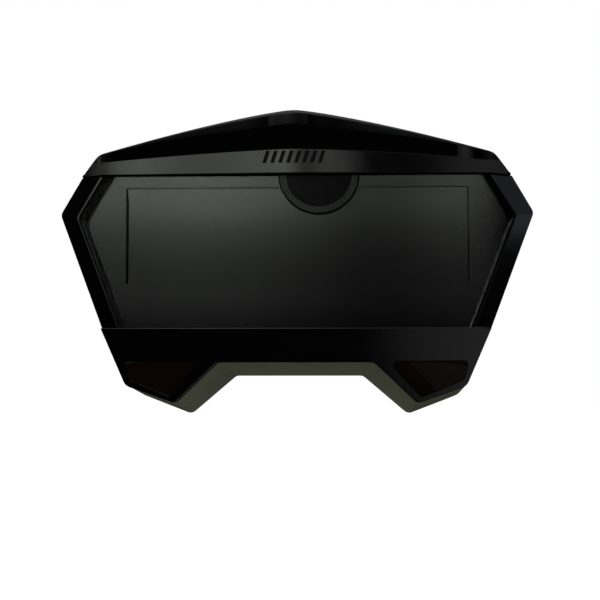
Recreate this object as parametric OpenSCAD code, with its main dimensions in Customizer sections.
// Motorcycle LCD instrument cluster with two push buttons.
// X is across the face, Z is up the face and the display looks along -Y.
// The origin is the centre of the three mounting holes, on the plane of the mounting posts' ends.
// Depths are measured forward from that plane, so a depth of 40 lies at Y = -40.

/* [Face] */
// Half of the overall width, at the side points
side_x = 90; // [89.6:0.1:90.6]
// Height of the side points
side_z = 17.7; // [17.4:0.1:18.5]
// Height of the hood's apex
apex_z = 55; // [54.6:0.1:56]
// Height of the lower trim's upper edge, negative as it is below the origin
trim_top_z = -26; // [-27:0.1:-25.5]

/* [Depths] */
// Thickness of the housing walls
wall = 2.5; // [2:0.1:2.8]
// Reach of the hood's lip at the apex
lip_d = 60; // [57:0.5:64]
// Depth of the hood's front band
band_d = 51.5; // [51:0.1:52.5]
// Depth of the bezel's front face
bezel_d = 46.5; // [46.2:0.1:46.6]
// Depth of the lower trim's face at its upper edge
trim_d = 49.6; // [49.3:0.1:50.5]

/* [Mounting] */
// Diameter of the circle through the three mounting holes
mount_pcd = 68; // [66:1:70]
// Radius of the tapped mounting holes, M5 minor radius
mount_hole_r = 2.1; // [1.9:0.05:2.3]
// Radius of the mounting posts
post_r = 7; // [6.5:0.1:7.5]

/* [Buttons] */
// Travel of each button
button_travel = 1; // [0.6:0.1:1]
// Gap between a button and the edge of its aperture
button_gap = 0.35; // [0.3:0.05:0.5]

/* [Display] */
// Width of the visible display
lcd_w = 132; // [128:0.2:132.4]
// Radius of the shift light's dark ring
shift_r = 15.3; // [14:0.1:15.5]
// Number of warning light windows
lamp_count = 7; // [5:1:8]

/* [Hidden] */

// Depths of the housing parts
back_d = 10;                    // outside of the rear wall
floor_d = back_d + wall;        // inside of the rear wall
split_d = 40;                   // where the front frame meets the rear case
deck_d = 42;                    // front of the frame's deck under the lower trim
hood_back_d = 34;               // rear edge of the hood's skirt
hood_gap = 0.3;                 // air between the hood and the frame
lens_front_d = 45.3;
lens_ledge_d = 44.2;            // front of the lens flange's pocket in the frame
lens_back_d = 42.8;
lens_flange_front_d = 43.8;
seal_t = lens_ledge_d - lens_flange_front_d;
bezel_ridge = [6.3, 5.7];       // the ridge beside the window lies this far inside the bezel's outline,
                                // above and below the side points
bezel_lean = 18;                // and from there the bezel's sides lean back by this angle

// Depths of the display stack, from the board forward
board_back_d = 22;
board_t = 1.6;
board_d = board_back_d + board_t;
reflector_d = 29.2;
guide_d = 29.5;
diffuser_d = 32.5;
rear_film_d = 33;
rear_glass_d = 33.2;
front_glass_d = 34.4;
front_film_d = 35.6;
mask_back_d = 35.8;
mask_d = 37;

// Heights in the display
lcd_bottom_z = -8.3;
lcd_top_z = 29;
glass_side_x = 67.8;
glass_top_z = 30.2;
rear_glass_bottom_z = -9.6;
front_glass_bottom_z = -12.2;
holder_side_x = 70.4;
holder_top_z = 32.6;
holder_bottom_z = -13.6;
lamp_row_z = -17.6;
lamp_pitch = 14.2;
lamp_box_h = 8.6;
shift_at = [8.6, 34];
shift_cut_z = 34.4;

// Hood
hood_base_z = 32.1;
hood_side_x = 80.6;
hood_shoulder = [75.1, 39.5];
hood_bulge = 1.2;
hood_side_slope = 0.725;
hood_sweep = 2.6;               // the band and the lip sweep back by this angle on both sides
sweep_blend = 8;
band_bulge = 4.8;
band_mid_z = 42;
lip_face_h = 5.5;
lip_face_lean = 0.32;

// Lower trim
trim_tilt = 6.2;                // the trim's face leans back towards its foot
trim_rim = [0.5, 3];            // height of the rim along its top, and how far it leans back the other way
trim_t = 2.2;
trim_inset = 0.2;
bar_foot_z = -33.5;             // foot of the frame's bar under the lens

// Buttons, given for the right one, as [x, z, corner radius]
button_face = [[35.2, -38.7, 1.5], [64.7, -38.5, 1.4], [62.9, -45.2, 2.2], [47.2, -51.7, 2]];
button_at = [55.5, -43.6];
button_proud = 0.5;             // height of the button's main face over the trim's
// Facets of a button's top, each beyond a crease from one point to another, as [from, to, fall in degrees]
button_facets = [[[42.2, -38.9], [52.8, -49.3], 15], [[64.9, -40.8], [46, -38.6], 10]];
stem_r = 2;
flange_t = 0.9;
flange_d = deck_d + 0.6 + button_travel;
switch_body_w = 6;
switch_body_h = 3.5;
plunger_r = 1.75;
plunger_end_d = 30.1;

// Fasteners, given for the right half as [x, z]
case_screw_at = [[33, 37.9], [53, -34.2], [20, -32.4]];
board_screw_at = [[44, 35.6], [60, -18]];
hood_screw_at = [17.5, 41.2];
trim_screw_at = [[33.6, -35.4], [64, -35.2]];
case_boss_d = 21.9;
frame_boss_d = 23.7;
screw_slack = 0.05;

// Connector
connector_at = [0, -6];
connector_w = 38;
connector_h = 15;
connector_wall = 1.8;
connector_mouth_d = 1;
connector_floor_d = 13.4;
pin_w = 0.64;
pin_tip_d = 7.4;
pin_columns = 10;
pin_pitch = 3;
pin_row_gap = 4.4;
connector_flange_d = 13.3;
connector_flange_t = 1.5;

// Breather
breather_at = [-56, -4];

facets = 48;
$fn = facets;

// ---- Outlines, as [x, z, corner radius], clockwise seen from the front ----

// Outline of the face, where the frame, trim and case meet
face_half = [
    [0, 51, 8], [38, 45.3, 100], [74.5, 37.5, 3], [79.7, 31.7, 0.3], [81.9, 31.7, 0.5],
    [side_x, side_z, 3], [73.4, -26.5, 20], [64.3, -47.7, 4], [45.8, -54.2, 2.6], [29.5, -38.7, 2.6]
];
// Outline of the case just in front of its rear wall, flared around the notch
rear_half = [
    [0, 50.2, 8], [38, 44.4, 100], [73, 36.4, 3], [77.6, 31.2, 0.3], [79.6, 31.2, 0.5],
    [side_x - 2.4, side_z - 0.3, 4], [71.6, -26.5, 20], [63.4, -50.4, 4.4], [42.8, -58.4, 3], [25.1, -43.3, 3]
];
// Opening in the bezel that shows the lens
window_half = [[71.2, 35, 2], [side_x - 7.6, side_z - 1.6, 3.5], [65.2, -28.5, 2]];
// Floor of the dial mask. It runs up behind the hood's band, and the mask's side walls slope out from it
mask_floor_half = [[70.4, 34.6, 2], [side_x - 8.5, side_z - 1.65, 3], [64.8, -27.8, 2]];

function unit(v) = v / norm(v);
function flip(p) = [-p.x, p.y, p.z];
function mirrored(half) = concat(
    half,
    [for (i = [len(half) - 1 : -1 : 0]) if (half[i].x > 0) flip(half[i])]
);
function flat(p) = [p.x, p.y];
function inward(a, b) = let (u = unit(flat(b) - flat(a))) [u.y, -u.x];
function turn(a, b, c) = cross(flat(b) - flat(a), flat(c) - flat(b));

// Moves every edge of a clockwise outline inward by t, or outward if t is negative
function inset(points, t) = let (n = len(points)) [
    for (i = [0 : n - 1])
        let (
            a = points[(i + n - 1) % n],
            b = points[i],
            c = points[(i + 1) % n],
            n1 = inward(a, b),
            n2 = inward(b, c),
            moved = flat(b) + (n1 + n2) * t / (1 + n1 * n2),
            r = turn(a, b, c) < 0 ? b.z - t : b.z + t
        )
        [moved.x, moved.y, max(0.25, r)]
];

// Points of the arc that rounds the corner b between a and c
function corner(a, b, c, r, steps) =
    let (
        u = unit(flat(a) - flat(b)),
        v = unit(flat(c) - flat(b)),
        half = acos(u * v) / 2,
        centre = flat(b) + unit(u + v) * r / sin(half),
        from = flat(b) + u * r / tan(half) - centre,
        to = flat(b) + v * r / tan(half) - centre,
        start = atan2(from.y, from.x),
        raw = atan2(to.y, to.x) - start,
        sweep = raw > 180 ? raw - 360 : raw < -180 ? raw + 360 : raw
    )
    [for (k = [0 : steps]) centre + r * [cos(start + sweep * k / steps), sin(start + sweep * k / steps)]];

function rounded(points, steps = 4) = let (n = len(points)) [
    for (i = [0 : n - 1])
        each corner(points[(i + n - 1) % n], points[i], points[(i + 1) % n], points[i].z, steps)
];

face = mirrored(face_half);
// The same outline without the step under the hood's ends, for pieces well inside it
plain_face = mirrored([for (i = [0 : len(face_half) - 1]) if (i != 3 && i != 4) face_half[i]]);
rear = mirrored(rear_half);
window = mirrored(window_half);
mask_floor = mirrored(mask_floor_half);

// ---- Building blocks ----

// Extrudes a shape drawn in X and Z between two depths
module slab(from, to) {
    translate([0, -from, 0])
        rotate([90, 0, 0])
            linear_extrude(to - from)
                children();
}

module outline(points, steps = 4) {
    polygon(rounded(points, steps));
}

module rod(at, r, from, to) {
    slab(from, to)
        translate(at)
            circle(r = r);
}

module block(low, high, from, to) {
    slab(from, to)
        translate(low)
            square(high - low);
}

module both_sides() {
    children();
    mirror([1, 0, 0])
        children();
}

module on_side(side) {
    if (side > 0)
        children();
    else
        mirror([1, 0, 0])
            children();
}

// Solid through rings of points, each clockwise seen from the end that the rings run towards
module skin(rings) {
    n = len(rings[0]);
    last = len(rings) - 1;
    polyhedron(
        points = [for (ring = rings) each ring],
        faces = concat(
            [[for (i = [n - 1 : -1 : 0]) i]],
            [
                for (k = [0 : last - 1])
                    for (i = [0 : n - 1])
                        [k * n + i, k * n + (i + 1) % n, (k + 1) * n + (i + 1) % n, (k + 1) * n + i]
            ],
            [[for (i = [0 : n - 1]) last * n + i]]
        ),
        convexity = 6
    );
}

// Cuts away what lies in front of a plane through the line that is t inside the edge from a to b.
// The plane meets the bezel's front there and leans back by the angle lean towards the edge.
module lean_edge(a, b, t, lean) {
    run = flat(b) - flat(a);
    translate([a.x, -bezel_d, a.y])
        rotate([0, -atan2(run.y, run.x), 0])
            translate([0, 0, -t])
                rotate([-lean, 0, 0])
                    translate([-10, -20, 0])
                        cube([norm(run) + 20, 20, 30]);
}

function ring(points, d) = [for (p = rounded(points)) [p.x, -d, p.y]];
function between(a, b, t) = [for (i = [0 : len(a) - 1]) a[i] + (b[i] - a[i]) * t];

// Straight-sided loft from one outline at a depth to another further forward
module loft(back, back_depth, front, front_depth) {
    skin([ring(back, back_depth), ring(front, front_depth)]);
}

// Cuts away what lies in front of the lower trim's leaning face, moved back by t
module in_front_of_trim(t) {
    translate([0, -trim_d + t, trim_top_z])
        rotate([trim_tilt, 0, 0])
            translate([-100, -60, -60])
                cube([200, 60, 80]);
}

// The trim's rim leans back the other way
module in_front_of_trim_rim() {
    translate([0, -trim_d + trim_rim[0] * tan(trim_tilt), trim_top_z - trim_rim[0]])
        rotate([-trim_rim[1], 0, 0])
            translate([-100, -60, 0])
                cube([200, 60, 20]);
}

module mount_places() {
    for (a = [-90, 30, 150])
        translate([mount_pcd / 2 * cos(a), 0, mount_pcd / 2 * sin(a)])
            children();
}

module tube(at, outer_r, inner_r, from, to) {
    difference() {
        rod(at, outer_r, from, to);
        rod(at, inner_r, from - 1, to + 1);
    }
}

// ---- Housing ----

module connector_hole(gap) {
    block(
        connector_at - [connector_w / 2 + gap, connector_h / 2 + gap],
        connector_at + [connector_w / 2 + gap, connector_h / 2 + gap],
        back_d - 6, floor_d + 1
    );
}

module case_shell() {
    edge = 1.6;
    over = 1;
    low = [-side_x - 10, -80];
    high = [side_x + 10, 80];
    rear_d = back_d + edge;
    stretch = (split_d + over - rear_d) / (split_d - rear_d);
    difference() {
        intersection() {
            skin([
                ring(inset(rear, edge + over), back_d - over),
                ring(rear, rear_d),
                ring(between(rear, face, stretch), split_d + over)
            ]);
            block(low, high, back_d, split_d);
        }
        intersection() {
            loft(
                inset(between(rear, face, -0.07), wall), floor_d - 3,
                inset(between(rear, face, stretch), wall), split_d + over
            );
            block(low, high, floor_d, split_d + over + 1);
        }
    }
}

// Ribs that stiffen the outside of the rear wall and brace each post
module case_ribs() {
    rib_t = 1.4;
    rib_h = 1.2;
    for (z = [31, 24, -20, -27])
        block([-17, z], [17, z + rib_t], back_d - rib_h, back_d + 1);
    both_sides() {
        for (x = [46, 52, 58, 64])
            block([x, -24], [x + rib_t, 26], back_d - rib_h, back_d + 1);
        block([46, 8], [64 + rib_t, 8 + rib_t], back_d - rib_h, back_d + 1);
    }
    mount_places()
        for (a = [0 : 60 : 300])
            rotate([0, a, 0])
                translate([post_r - 1, -back_d - 1, -rib_t / 2])
                    cube([3.4, back_d - 3, rib_t]);
}

module rear_case() {
    insert_r = 4;
    color("#26261f")
        difference() {
            union() {
                case_shell();
                case_ribs();
                mount_places()
                    rotate([90, 0, 0])
                        cylinder(r = post_r, h = floor_d + 4);
                both_sides()
                    for (at = case_screw_at) {
                        rod(at, 3.8, back_d + 1, case_boss_d);
                        rod(at, 4.4, back_d - 1, back_d + 1);
                    }
                block(
                    connector_at - [connector_w / 2 + 2.2, connector_h / 2 + 2.2],
                    connector_at + [connector_w / 2 + 2.2, connector_h / 2 + 2.2],
                    back_d - 5, back_d + 1
                );
                rod(breather_at, 6.5, back_d - 1.2, back_d + 1);
            }
            mount_places()
                rotate([90, 0, 0])
                    translate([0, 0, -1])
                        cylinder(r = insert_r + screw_slack, h = 11);
            both_sides()
                for (at = case_screw_at) {
                    rod(at, 3.3, back_d - 2, back_d + 2);
                    rod(at, 1.7, back_d, case_boss_d + 1);
                }
            connector_hole(0.1);
            rod(breather_at, 3.05, back_d - 2, floor_d + 1);
        }
}

module front_frame() {
    color("#060608")
        difference() {
            union() {
                difference() {
                    slab(split_d, bezel_d)
                        outline(face);
                    block([-100, -70], [100, bar_foot_z], deck_d, bezel_d + 1);
                    block([-100, bar_foot_z - 1], [-71.5, trim_top_z + 0.2], deck_d, bezel_d + 1);
                    block([71.5, bar_foot_z - 1], [100, trim_top_z + 0.2], deck_d, bezel_d + 1);
                }
                both_sides()
                    for (at = case_screw_at)
                        rod(at, 3.2, frame_boss_d, split_d + 0.5);
            }
            slab(split_d - 1, lens_ledge_d)
                outline(inset(window, -2.2));
            slab(lens_ledge_d - 1, bezel_d + 1)
                outline(window);
            loft(inset(window, 0.2), lens_front_d - 0.4, inset(window, -0.8), bezel_d + 0.4);
            both_sides() {
                lean_edge(face_half[4], face_half[5], bezel_ridge[0], bezel_lean);
                lean_edge(face_half[5], face_half[6], bezel_ridge[1], bezel_lean);
                for (at = case_screw_at)
                    rod(at, 1.5 + screw_slack, frame_boss_d - 1, 35);
                for (at = concat(trim_screw_at, [hood_screw_at]))
                    rod(at, 1.3, split_d - 1, bezel_d + 1);
                rod(button_at, stem_r + 0.6, split_d - 1, deck_d + 1);
            }
            slab(split_d - 0.01, split_d + 1)
                difference() {
                    outline(inset(face, 0.9));
                    outline(inset(face, 2.1));
                }
        }
}

// ---- Hood ----

function soft_min(a, b, k) = -k * ln(exp(-a / k) + exp(-b / k));
function hood_roof(x) =
    let (t = (sqrt(x * x + 9) - 3) / hood_shoulder.x)
    apex_z - (apex_z - hood_shoulder.y) * t + hood_bulge * 4 * t * (1 - t);
function hood_top(x) =
    max(hood_base_z + 0.7, soft_min(hood_roof(x), hood_base_z + (hood_side_x - x) / hood_side_slope, 0.7));
function fade(x) = let (t = min(1, x / hood_shoulder.x)) 1 - t * t * (3 - 2 * t);
function sweep_back(x) =
    let (u = x / sweep_blend)
    tan(hood_sweep) * sweep_blend * (u + ln((1 + exp(-2 * u)) / 2));
function band_reach(x) = band_d - sweep_back(x);
function lip_reach(x) = band_reach(x) + 0.5 + (lip_d - band_d - 0.5) * fade(x);
function band_top(x) =
    min(band_mid_z - band_bulge * pow(min(1, x / 72), 1.5), hood_top(x) - 0.35);
function lip_foot(x) =
    max(band_top(x) + 0.1, hood_top(x) - 0.6 - (lip_face_h - 0.6) * fade(x));
// Underside of the hood, a gap above the frame's own top edge
function frame_top(x) =
    x < 38 ? 51 - 5.7 * x / 38
    : x < 74.5 ? 45.3 - 7.8 * (x - 38) / 36.5
    : 37.5 - 5.8 * (x - 74.5) / 5.2;
function hood_under(x) = x > 79.3 ? hood_base_z : max(hood_base_z, frame_top(x) + hood_gap + 0.1);

function hood_profile(x) =
    let (
        ax = abs(x),
        roof = hood_top(ax),
        under = min(hood_under(ax), roof - 0.5),
        reach = lip_reach(ax),
        band = band_reach(ax),
        ridge = 0.3 + fade(ax)
    )
    [
        [x, -reach, roof - ridge],
        [x, -reach + 0.3 + ridge, roof],
        [x, -hood_back_d, roof - 0.2],
        [x, -hood_back_d, under],
        [x, -bezel_d - hood_gap, under],
        [x, -bezel_d - hood_gap, hood_base_z - 0.2],
        [x, -band + 0.8, hood_base_z - 0.2],
        [x, -band, hood_base_z + 0.4],
        [x, -band, band_top(ax)],
        [x, -reach + lip_face_lean, lip_foot(ax)]
    ];

hood_stations = [
    for (k = [-22 : 22])
        let (t = abs(k) / 22, x = hood_side_x * (1 - pow(1 - t, 1.35)))
        k < 0 ? -x : x
];

// Plain raised bars in the middle of the band
module band_bars() {
    bar_w = 1.4;
    lean = 1.5;
    for (x = [-12.3 : 3 : 8.7])
        slab(band_reach(abs(x + lean)) - 1, band_reach(abs(x + lean)) + 0.35)
            translate([x, 36.2])
                polygon([[0, 0], [lean, 4.6], [lean + bar_w, 4.6], [bar_w, 0]]);
}

module hood() {
    color("#050506")
        difference() {
            union() {
                skin([for (x = hood_stations) hood_profile(x)]);
                band_bars();
                both_sides()
                    rod(hood_screw_at, 2.4, bezel_d + 0.1, band_d - 1);
            }
            both_sides()
                rod(hood_screw_at, 1 + screw_slack, bezel_d - 1, band_d - 1.5);
        }
}

// ---- Lower trim and buttons ----

module button_outline(grow) {
    outline(inset(button_face, -grow), 5);
}

module lower_trim() {
    color("#050506")
        difference() {
            slab(deck_d + 0.1, trim_d + 3)
                outline(inset(face, trim_inset));
            block([-100, trim_top_z], [100, 80], deck_d - 1, trim_d + 4);
            in_front_of_trim(0);
            in_front_of_trim_rim();
            difference() {
                slab(deck_d - 1, trim_d + 3)
                    outline(inset(face, trim_inset + 2));
                in_front_of_trim(trim_t);
                both_sides()
                    for (at = trim_screw_at)
                        rod(at, 2.2, deck_d + 0.1, trim_d);
            }
            block([-71.7, bar_foot_z - 0.2], [71.7, 0], deck_d - 1, bezel_d + 0.1);
            both_sides() {
                slab(deck_d, trim_d + 4)
                    button_outline(button_gap);
                for (at = trim_screw_at)
                    rod(at, 1 + screw_slack, deck_d - 1, deck_d + 3);
            }
        }
}

// Cuts a button's top back on the right-hand side of the way from one point to the other
module beyond_crease(from, to, fall) {
    run = to - from;
    translate([0, -trim_d - button_proud, trim_top_z])
        rotate([trim_tilt, 0, 0])
            translate([from.x, 0, from.y - trim_top_z])
                rotate([0, -atan2(run.y, run.x), 0])
                    rotate([fall, 0, 0])
                        translate([-20, -10, -40])
                            cube([80, 10, 40]);
}

// The main face stands a little proud of the trim. One facet falls away to the notch, one to the top
module button(side) {
    color("#140b0b")
        on_side(side)
            difference() {
                union() {
                    slab(flange_d, trim_d + 2)
                        button_outline(0);
                    slab(flange_d, flange_d + flange_t)
                        intersection() {
                            button_outline(0.9);
                            outline(inset(face, trim_inset + 2.4));
                        }
                    rod(button_at, stem_r, plunger_end_d, flange_d + 0.5);
                }
                in_front_of_trim(-button_proud);
                for (facet = button_facets)
                    beyond_crease(facet[0], facet[1], facet[2]);
            }
}

module stem_seal(side) {
    color("#1b1b1b")
        on_side(side)
            tube(button_at, stem_r + 0.55, stem_r + 0.03, split_d + 0.2, deck_d - 0.2);
}

module switch_body(side) {
    half = [switch_body_w, switch_body_w] / 2;
    color("#2a2a2c")
        on_side(side)
            difference() {
                block(button_at - half, button_at + half, board_d, board_d + switch_body_h);
                rod(button_at, plunger_r + 0.05, board_d + 0.8, board_d + switch_body_h + 1);
            }
}

module switch_plunger(side) {
    color("#8c2f22")
        on_side(side)
            rod(button_at, plunger_r, board_d + 2, plunger_end_d);
}

// ---- Lens and seals ----

module lens() {
    color([0.12, 0.13, 0.13, 0.45])
        union() {
            slab(lens_back_d, lens_front_d)
                outline(inset(window, 0.15));
            slab(lens_back_d, lens_flange_front_d)
                outline(inset(window, -2));
        }
}

module lens_seal() {
    color("#181818")
        slab(lens_flange_front_d, lens_flange_front_d + seal_t)
            difference() {
                outline(inset(window, -2));
                outline(inset(window, -0.3));
            }
}

module case_seal() {
    color("#101010")
        slab(split_d, split_d + 0.95)
            difference() {
                outline(inset(face, 0.95));
                outline(inset(face, 2.05));
            }
}

// ---- Display ----

module lcd_window() {
    difference() {
        translate([-lcd_w / 2, lcd_bottom_z])
            square([lcd_w, lcd_top_z - lcd_bottom_z]);
        translate(shift_at)
            circle(r = shift_r + 0.1);
    }
}

module lamp_places() {
    for (k = [0 : lamp_count - 1])
        translate([(k - (lamp_count - 1) / 2) * lamp_pitch, lamp_row_z])
            children();
}

module dial_mask() {
    rim = 0.8;
    color("#1b1c1c")
        difference() {
            union() {
                loft(inset(mask_floor, -0.7), mask_back_d, inset(window, -0.6), lens_back_d - 0.2);
                slab(lens_back_d - 0.2 - rim, lens_back_d - 0.2)
                    outline(inset(window, -2));
            }
            loft(mask_floor, mask_d, inset(window, 0.1), lens_back_d + 0.1);
            slab(mask_back_d - 1, mask_d + 1)
                lcd_window();
            slab(mask_back_d - 1, mask_d + 1)
                intersection() {
                    translate(shift_at)
                        circle(r = shift_r - 1);
                    translate([-40, 0])
                        square([90, shift_cut_z]);
                }
            slab(mask_back_d - 1, mask_d + 1)
                lamp_places()
                    circle(r = 3.4);
            // way for the shift light's pipe through the mask's floor
            block([shift_at.x - 4.1, 27], [shift_at.x + 4.1, 36.5], mask_back_d - 1, mask_d + 0.05);
            both_sides()
                rod(case_screw_at[0], 3.25, mask_back_d - 1, lens_back_d - 1.1);
        }
}

module half_disc(r) {
    intersection() {
        translate(shift_at)
            circle(r = r);
        translate([-40, 0])
            square([90, shift_cut_z - 0.2]);
    }
}

module shift_light_ring() {
    color("#34372f")
        slab(mask_d, mask_d + 0.9)
            difference() {
                half_disc(shift_r);
                half_disc(shift_r - 2.5);
            }
}

module shift_light_lens() {
    low = [shift_at.x - 4, 27.5];
    color("#0b120d")
        union() {
            slab(mask_back_d + 0.2, mask_d + 0.5)
                half_disc(shift_r - 2.55);
            block(low, [low.x + 8, 36.4], mask_back_d + 0.2, mask_d - 0.2);
            block([low.x, holder_top_z + 0.2], [low.x + 8, 36.4], board_d + 1.6, mask_d - 0.2);
        }
}

module glass(bottom_z, from, to, inset_x = 0) {
    block([-glass_side_x + inset_x, bottom_z], [glass_side_x - inset_x, glass_top_z - inset_x], from, to);
}

module lcd_front_polariser() {
    color([0.05, 0.06, 0.06, 0.9])
        glass(rear_glass_bottom_z, front_film_d, mask_back_d, 1);
}

module lcd_front_glass() {
    color([0.55, 0.62, 0.6, 0.5])
        glass(front_glass_bottom_z, front_glass_d, front_film_d);
}

module lcd_rear_glass() {
    color([0.55, 0.62, 0.6, 0.5])
        glass(rear_glass_bottom_z, rear_glass_d, front_glass_d);
}

module lcd_rear_polariser() {
    color([0.05, 0.06, 0.06, 0.9])
        glass(rear_glass_bottom_z + 1, rear_film_d, rear_glass_d, 1);
}

module sheet(from, to, gap) {
    block(
        [-glass_side_x + gap, rear_glass_bottom_z + gap],
        [glass_side_x - gap, glass_top_z - gap], from, to
    );
}

module diffuser_sheet() {
    color("#f2f2ee")
        sheet(diffuser_d, rear_film_d, 0.6);
}

module light_guide() {
    color([0.92, 0.95, 0.95, 0.6])
        sheet(guide_d, diffuser_d, 0.6);
}

module reflector_sheet() {
    color("#fbfbfb")
        sheet(reflector_d, guide_d, 0.6);
}

module lcd_holder() {
    color("#e9e9e4")
        difference() {
            union() {
                block([-holder_side_x, holder_bottom_z], [holder_side_x, holder_top_z], board_d, front_film_d);
                both_sides() {
                    rod(board_screw_at[0], 2.9, board_d, front_film_d - 1);
                    block([41.1, holder_top_z - 1], [46.9, board_screw_at[0].y], board_d, front_film_d - 1);
                    rod(board_screw_at[1], 2.9, board_d, front_film_d - 1);
                    block([57.1, board_screw_at[1].y], [62.9, holder_bottom_z + 1], board_d, front_film_d - 1);
                }
            }
            // pocket for the glass, the sheets and the strip under the glass's lower edge
            block(
                [-glass_side_x - 0.15, rear_glass_bottom_z - 0.15],
                [glass_side_x + 0.15, glass_top_z + 0.15], reflector_d, front_film_d + 1
            );
            block(
                [-glass_side_x - 0.15, front_glass_bottom_z - 0.1],
                [glass_side_x + 0.15, 0], front_glass_d - 0.2, front_film_d + 1
            );
            block([-62, front_glass_bottom_z - 0.05], [62, rear_glass_bottom_z - 0.7], board_d - 1, front_film_d);
            // hollow under the light guide, where the backlight LEDs sit
            block([-64, rear_glass_bottom_z + 3], [64, glass_top_z - 3], board_d - 1, reflector_d - 1.2);
            // room for the connector's solder tails
            block([-16, -10], [16, -2], board_d - 1, board_d + 1.4);
            both_sides()
                for (at = board_screw_at)
                    rod(at, 1.25 + screw_slack, board_d - 1, 31);
        }
}

module zebra_strip() {
    color("#c9c4b0")
        block([-61.8, front_glass_bottom_z], [61.8, rear_glass_bottom_z - 0.8], board_d, front_glass_d);
}

module lamp_light_box() {
    low = [-(lamp_count * lamp_pitch) / 2, lamp_row_z - lamp_box_h / 2 + 0.5];
    high = [(lamp_count * lamp_pitch) / 2, holder_bottom_z - 0.1];
    color("#efefec")
        difference() {
            block(low, high, board_d, front_film_d);
            slab(board_d - 1, front_film_d + 1)
                lamp_places()
                    translate([-6, -3.4])
                        square([12, 6.6]);
        }
}

module lamp_film() {
    color("#22252a")
        block(
            [-(lamp_count * lamp_pitch) / 2, lamp_row_z - lamp_box_h / 2 + 0.5],
            [(lamp_count * lamp_pitch) / 2, holder_bottom_z - 0.1],
            front_film_d, mask_back_d
        );
}

// ---- Circuit board ----

module pin_places() {
    for (row = [-1, 1])
        for (k = [0 : pin_columns - 1])
            translate(connector_at + [(k - (pin_columns - 1) / 2) * pin_pitch, row * pin_row_gap / 2])
                children();
}

module main_board() {
    color("#1d5c36")
        slab(board_back_d, board_d)
            difference() {
                outline(inset(plain_face, 5.2));
                both_sides() {
                    for (at = case_screw_at)
                        translate(at)
                            circle(r = 1.9);
                    for (at = board_screw_at)
                        translate(at)
                            circle(r = 1.4);
                }
                pin_places()
                    square(pin_w + 0.1, center = true);
            }
}

module led(at, front) {
    body = [1.7, 1.4];
    block(at - body, at + body, board_d, board_d + front);
}

module backlight_leds() {
    color("#f4f1d8")
        for (x = [-54 : 12 : 54])
            led([x, 20], 1.4);
}

module lamp_leds() {
    color("#f4f1d8")
        for (k = [0 : lamp_count - 1])
            led([(k - (lamp_count - 1) / 2) * lamp_pitch, lamp_row_z], 1.4);
}

module shift_led() {
    color("#f4e4d8")
        led([shift_at.x, 34.6], 1.4);
}

module chip(at, w, h, t, legs) {
    leg_pitch = 0.8;
    count = floor((w - 2) / leg_pitch);
    half = [w, h] / 2;
    block(at - half, at + half, board_back_d - t, board_back_d - 0.1);
    for (k = [0 : count - 1])
        for (s = [-1, 1])
            if (legs)
                block(
                    at + [(k - (count - 1) / 2) * leg_pitch - 0.15, s > 0 ? half.y : -half.y - 1],
                    at + [(k - (count - 1) / 2) * leg_pitch + 0.15, s > 0 ? half.y + 1 : -half.y],
                    board_back_d - 0.3, board_back_d
                );
}

module microcontroller() {
    color("#17171a")
        chip([38, 2], 14, 14, 1.6, true);
}

module display_driver_chip() {
    color("#17171a")
        chip([-40, 18], 12, 9, 1.4, true);
}

module voltage_regulator() {
    color("#17171a")
        chip([-36, -14], 7, 8, 2.4, true);
}

module crystal() {
    color("#c8c8cc")
        block([52, -2], [63, 2.5], board_back_d - 3.4, board_back_d);
}

module capacitors() {
    color("#2b2b30")
        for (at = [[-48, -20], [-42, -28.5], [33, -24]])
            rod(at, 4, board_back_d - 7.5, board_back_d);
}

module surface_mount_parts() {
    color("#8a6a44") {
        for (k = [0 : 5]) {
            block([24 + k * 4, 18], [26 + k * 4, 19.2], board_back_d - 0.8, board_back_d);
            block([-66 + k * 4, 4], [-64 + k * 4, 5.2], board_back_d - 0.8, board_back_d);
            block([-12 + k * 4, 24], [-10 + k * 4, 25.2], board_back_d - 0.8, board_back_d);
        }
        for (k = [0 : 3])
            block([65, -22 + k * 4], [67, -20.8 + k * 4], board_back_d - 0.8, board_back_d);
    }
}

// ---- Connector ----

module connector_housing() {
    half = [connector_w, connector_h] / 2;
    inner = half - [connector_wall, connector_wall];
    lip = [2.6, 2.6];
    color("#2c2c2e")
        difference() {
            union() {
                block(connector_at - half, connector_at + half, connector_mouth_d, board_back_d);
                block(
                    connector_at - half - lip, connector_at + half + lip,
                    connector_flange_d, connector_flange_d + connector_flange_t
                );
                // ramp that the plug's latch snaps over
                block(
                    connector_at + [-4, half.y - 0.5], connector_at + [4, half.y + 1.6],
                    connector_mouth_d + 1.5, connector_mouth_d + 3.5
                );
            }
            block(connector_at - inner, connector_at + inner, connector_mouth_d - 1, connector_floor_d);
            slab(connector_floor_d - 1, board_back_d + 1)
                pin_places()
                    square(pin_w, center = true);
        }
}

module connector_pins() {
    color("#c9a24a")
        slab(pin_tip_d, board_d + 1)
            pin_places()
                square(pin_w, center = true);
}

module connector_seal() {
    half = [connector_w, connector_h] / 2;
    color("#b5541c")
        slab(floor_d, connector_flange_d)
            difference() {
                translate(connector_at - half - [2.4, 2.4])
                    square([connector_w + 4.8, connector_h + 4.8]);
                translate(connector_at - half - [0.1, 0.1])
                    square([connector_w + 0.2, connector_h + 0.2]);
            }
}

// ---- Fasteners and small parts ----

module cross_screw(at, head_r, head_from, head_to, shank_r, shank_to) {
    slot = head_r * 0.28;
    difference() {
        union() {
            rod(at, head_r, head_from, head_to);
            rod(at, shank_r, head_to, shank_to);
        }
        block(at - [head_r * 0.6, slot / 2], at + [head_r * 0.6, slot / 2], head_from - 1, head_from + 1);
        block(at - [slot / 2, head_r * 0.6], at + [slot / 2, head_r * 0.6], head_from - 1, head_from + 1);
    }
}

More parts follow.
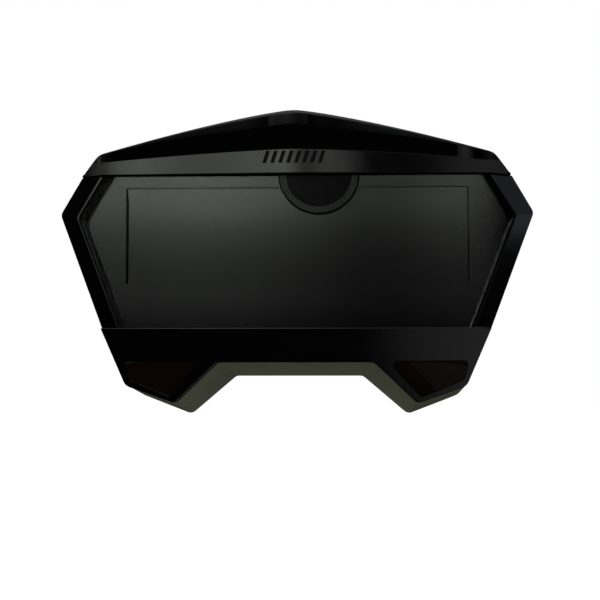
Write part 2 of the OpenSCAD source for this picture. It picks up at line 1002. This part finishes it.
module case_screws() {
    color("#9a9a9e")
        both_sides()
            for (at = case_screw_at)
                cross_screw(at, 2.9, back_d + 0.1, back_d + 2, 1.5, 34);
}

module board_screws() {
    color("#b9b9bd")
        both_sides()
            for (at = board_screw_at)
                cross_screw(at, 2.3, board_back_d - 1.6, board_back_d, 1.25, 30);
}

module trim_screws() {
    color("#3a3a3d")
        both_sides() {
            cross_screw(hood_screw_at, 2, split_d - 1.5, split_d, 1, band_d - 2);
            for (at = trim_screw_at)
                cross_screw(at, 2, split_d - 1.5, split_d, 1, deck_d + 2.5);
        }
}

module mount_inserts() {
    color("#b08d3f")
        mount_places()
            rotate([90, 0, 0])
                difference() {
                    cylinder(r = 4, h = 9);
                    translate([0, 0, -1])
                        cylinder(r = mount_hole_r, h = 11);
                }
}

module breather_cap() {
    color("#111111")
        difference() {
            union() {
                rod(breather_at, 5, back_d - 3.4, back_d - 1.3);
                rod(breather_at, 3, back_d - 1.4, floor_d + 0.8);
            }
            rod(breather_at, 1.6, back_d - 2.2, floor_d + 2);
        }
}

module breather_membrane() {
    color("#e8e8e8")
        rod(breather_at, 2.8, floor_d + 0.8, floor_d + 1.1);
}

rear_case();
front_frame();
hood();
lower_trim();
lens();
lens_seal();
case_seal();
dial_mask();
shift_light_ring();
shift_light_lens();
lcd_front_polariser();
lcd_front_glass();
lcd_rear_glass();
lcd_rear_polariser();
lcd_holder();
diffuser_sheet();
light_guide();
reflector_sheet();
zebra_strip();
lamp_light_box();
lamp_film();
main_board();
backlight_leds();
lamp_leds();
shift_led();
microcontroller();
display_driver_chip();
voltage_regulator();
crystal();
capacitors();
surface_mount_parts();
connector_housing();
connector_pins();
connector_seal();
button(-1);  // left_button
button(1);  // right_button
stem_seal(-1);  // left_stem_seal
stem_seal(1);  // right_stem_seal
switch_body(-1);  // left_switch_body
switch_body(1);  // right_switch_body
switch_plunger(-1);  // left_switch_plunger
switch_plunger(1);  // right_switch_plunger
case_screws();
board_screws();
trim_screws();
mount_inserts();
breather_cap();
breather_membrane();
